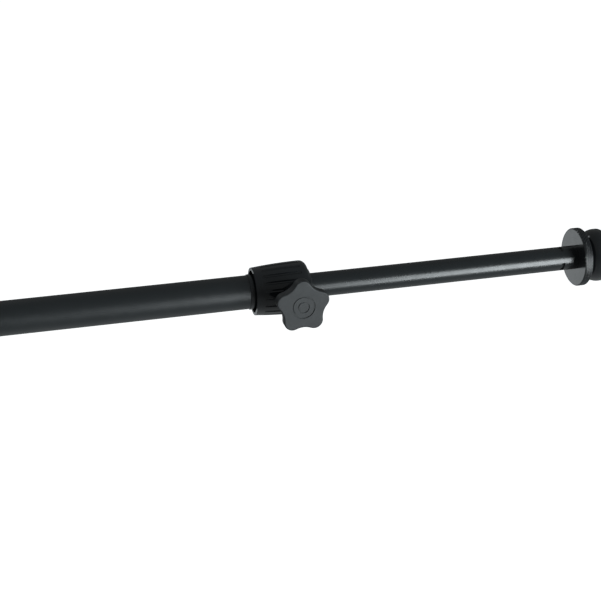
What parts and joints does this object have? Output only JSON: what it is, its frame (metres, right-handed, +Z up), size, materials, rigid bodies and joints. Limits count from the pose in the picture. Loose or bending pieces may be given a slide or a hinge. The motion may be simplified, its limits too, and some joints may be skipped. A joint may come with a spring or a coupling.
{
  "type": "telescopic stand arm",
  "caption": "Telescopic music stand arm: black outer and inner tubes, star-knob clutch collar, knurled lock ring, threaded end hub and a tilting pivot clamp with a stand socket.",
  "frame": {"origin": "middle of the stand socket's mouth, on the socket's axis, under the pivot", "axes": "+Z up out of the stand; +X along the level arm towards its threaded end; the knobs face -Y"},
  "size_m": [0.5946, 0.058, 0.0992],
  "materials": {
    "cast_black": "fine textured black paint",
    "tube_satin": "satin black powder coat",
    "tube_gloss": "semi-gloss black coat",
    "collar_plastic": "glossy moulded black",
    "knob_plastic": "matte moulded dark grey",
    "ring_metal": "glossy black coat, knurled rim",
    "steel": "zinc plated",
    "brass": "turned",
    "nylon": "black nylon",
    "fibre": "pressed fibre"
  },
  "bodies": {
    "base": {"pivot_base": "cast_black", "socket_bush": "brass"},
    "saddle": {"boom_saddle": "cast_black", "friction_discs": "fibre", "pivot_bolt": "steel"},
    "handle_washer": {"handle_washer": "steel"},
    "handle": {"clamp_handle": "knob_plastic", "handle_insert": "brass"},
    "sleeve": {"clamp_sleeve": "nylon"},
    "outer_arm": {"outer_tube": "tube_satin", "rear_end_cap": "knob_plastic", "clutch_collar": "collar_plastic", "rear_seal": "collar_plastic", "thread_insert": "brass", "front_bush": "nylon"},
    "pad": {"pressure_pad": "nylon"},
    "knob": {"clamp_screw": "steel", "star_knob": "knob_plastic"},
    "guide": {"guide_bush": "nylon"},
    "inner_arm": {"inner_tube": "tube_gloss", "bush_ring": "steel", "tube_plug": "nylon", "end_stud": "steel"},
    "lock_washer": {"lock_washer": "steel"},
    "ring": {"lock_ring": "ring_metal"},
    "hub": {"end_hub": "collar_plastic", "hub_insert": "brass", "face_insert": "brass"}
  },
  "joints": [
    {"name": "boom_tilt", "type": "hinge", "parent": "base", "child": "saddle", "pos_m": [0, 0, 0.052], "axis": [0, -1, 0], "range_deg": [-90, 90]},
    {"name": "handle_travel", "type": "slide", "parent": "saddle", "child": "handle_washer", "axis": [0, -1, 0], "range_m": [0, 0.0025]},
    {"name": "handle_turn", "type": "hinge", "parent": "handle_washer", "child": "handle", "pos_m": [0, -0.028, 0.052], "axis": [0, -1, 0], "range_deg": [0, 720.6]},
    {"name": "boom_roll", "type": "hinge", "parent": "saddle", "child": "sleeve", "pos_m": [0, 0, 0.083], "axis": [1, 0, 0], "continuous": true},
    {"name": "boom_slide", "type": "slide", "parent": "sleeve", "child": "outer_arm", "axis": [1, 0, 0], "range_m": [-0.115, 0.17]},
    {"name": "pad_travel", "type": "slide", "parent": "outer_arm", "child": "pad", "axis": [0, -1, 0], "range_m": [0, 0.002]},
    {"name": "knob_turn", "type": "hinge", "parent": "pad", "child": "knob", "pos_m": [0.19525, -0.024, 0.083], "axis": [0, -1, 0], "range_deg": [0, 720.6]},
    {"name": "telescope", "type": "slide", "parent": "outer_arm", "child": "guide", "axis": [1, 0, 0], "range_m": [-0.145, 0.15]},
    {"name": "inner_spin", "type": "hinge", "parent": "guide", "child": "inner_arm", "pos_m": [-0.014, 0, 0.083], "axis": [1, 0, 0], "continuous": true},
    {"name": "washer_travel", "type": "slide", "parent": "inner_arm", "child": "lock_washer", "axis": [-1, 0, 0], "range_m": [0, 0.00094]},
    {"name": "ring_turn", "type": "hinge", "parent": "lock_washer", "child": "ring", "pos_m": [0.36065, 0, 0.083], "axis": [-1, 0, 0], "range_deg": [0, 360.3]},
    {"name": "hub_turn", "type": "hinge", "parent": "inner_arm", "child": "hub", "pos_m": [0.37665, 0, 0.083], "axis": [1, 0, 0], "range_deg": [0, 360]}
  ],
  "couplings": [
    {"joint": "handle_turn", "follows": "handle_travel", "rad_per_m": 5026.5},
    {"joint": "knob_turn", "follows": "pad_travel", "rad_per_m": 6283.2},
    {"joint": "ring_turn", "follows": "washer_travel", "rad_per_m": 6679.3}
  ]
}
